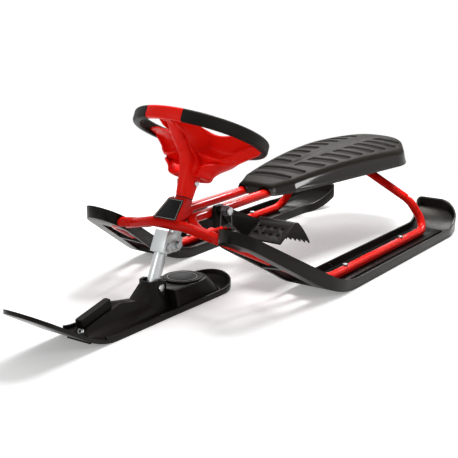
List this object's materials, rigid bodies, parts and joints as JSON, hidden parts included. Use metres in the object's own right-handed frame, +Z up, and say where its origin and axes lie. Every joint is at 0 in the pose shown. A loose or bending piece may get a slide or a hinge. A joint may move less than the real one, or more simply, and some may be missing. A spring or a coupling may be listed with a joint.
{
  "type": "steering sled",
  "caption": "Ride-on snow sled with a tube frame, padded-look seat, runners, foot brakes and a wheel-steered front ski with a tow reel.",
  "frame": {"origin": "centre of the footprint at ground level", "axes": "+X forward to the front ski's nose, +Y to the rider's left, +Z up"},
  "size_m": [1.3, 0.52, 0.3875],
  "materials": {
    "red_paint": "gloss",
    "red_plastic": "satin",
    "black_plastic": "semi-gloss",
    "black_nylon": "satin",
    "seat_plastic": "matte",
    "grip_rubber": "matte",
    "zinc_steel": "satin",
    "spring_steel": "satin",
    "label_film": "gloss"
  },
  "bodies": {
    "frame": {"front_cross_tube": "red_paint", "tube_end_plugs": "black_nylon", "head_tube": "red_paint", "head_gusset": "red_paint", "head_label_plate": "label_film", "upper_bush": "black_nylon", "lower_bush": "black_nylon", "seat_shell": "seat_plastic", "seat_front_strap": "zinc_steel", "seat_rear_strap": "zinc_steel", "seat_screws": "zinc_steel", "runner_bolts": "zinc_steel", "runner_nuts": "zinc_steel", "brake_bracket_bolts": "zinc_steel", "left_backbone_tube": "red_paint", "right_backbone_tube": "red_paint", "left_rail_tube": "red_paint", "right_rail_tube": "red_paint", "left_runner": "black_plastic", "right_runner": "black_plastic", "left_brake_bracket": "black_nylon", "right_brake_bracket": "black_nylon", "left_brake_pin": "zinc_steel", "right_brake_pin": "zinc_steel", "left_brake_spring": "spring_steel", "right_brake_spring": "spring_steel"},
    "steering": {"steering_column": "zinc_steel", "column_cap": "black_nylon", "upper_washer": "zinc_steel", "lower_washer": "zinc_steel", "wheel_body": "red_plastic", "left_grip": "grip_rubber", "right_grip": "grip_rubber", "wheel_clamp_screw": "zinc_steel", "wheel_clamp_nut": "zinc_steel", "fork_bracket": "zinc_steel", "leg_tube": "zinc_steel", "fork_bolts": "zinc_steel", "fork_nuts": "zinc_steel"},
    "ski": {"front_ski": "black_plastic", "ski_pivot_bolt": "zinc_steel", "ski_pivot_nut": "zinc_steel", "rope_eyelet": "zinc_steel", "reel_cover": "black_plastic", "reel_badge": "label_film", "spool_pin": "zinc_steel"},
    "reel": {"rope_spool": "black_nylon"},
    "tow": {"tow_handle": "black_nylon"},
    "left_brake": {"left_brake_pedal": "black_nylon"},
    "right_brake": {"right_brake_pedal": "black_nylon"}
  },
  "joints": [
    {"name": "steer", "type": "hinge", "parent": "frame", "child": "steering", "pos_m": [0.27071, 0, 0.03721], "axis": [-0.4368, 0, 0.8996], "range_deg": [-25, 25]},
    {"name": "ski_rock", "type": "hinge", "parent": "steering", "child": "ski", "pos_m": [0.295, 0, 0.049], "axis": [0, 1, 0], "range_deg": [-6, 6]},
    {"name": "tow_pull", "type": "slide", "parent": "ski", "child": "tow", "axis": [0.94, 0, 0.3412], "range_m": [0, 0.06], "stiffness_N_per_m": 40, "springref_m": -0.05},
    {"name": "reel_spin", "type": "hinge", "parent": "ski", "child": "reel", "pos_m": [0.201, 0, 0.025], "axis": [0, 0, 1], "range_deg": [0, 216]},
    {"name": "left_brake_press", "type": "hinge", "parent": "frame", "child": "left_brake", "pos_m": [0.13822, 0.05, 0.173], "axis": [0, -1, 0], "range_deg": [0, 22], "stiffness_Nm_per_rad": 0.9, "springref_deg": -22.92},
    {"name": "right_brake_press", "type": "hinge", "parent": "frame", "child": "right_brake", "pos_m": [0.13822, -0.05, 0.173], "axis": [0, -1, 0], "range_deg": [0, 22], "stiffness_Nm_per_rad": 0.9, "springref_deg": -22.92}
  ],
  "couplings": [
    {"joint": "reel_spin", "follows": "tow_pull", "rad_per_m": 62.5}
  ]
}
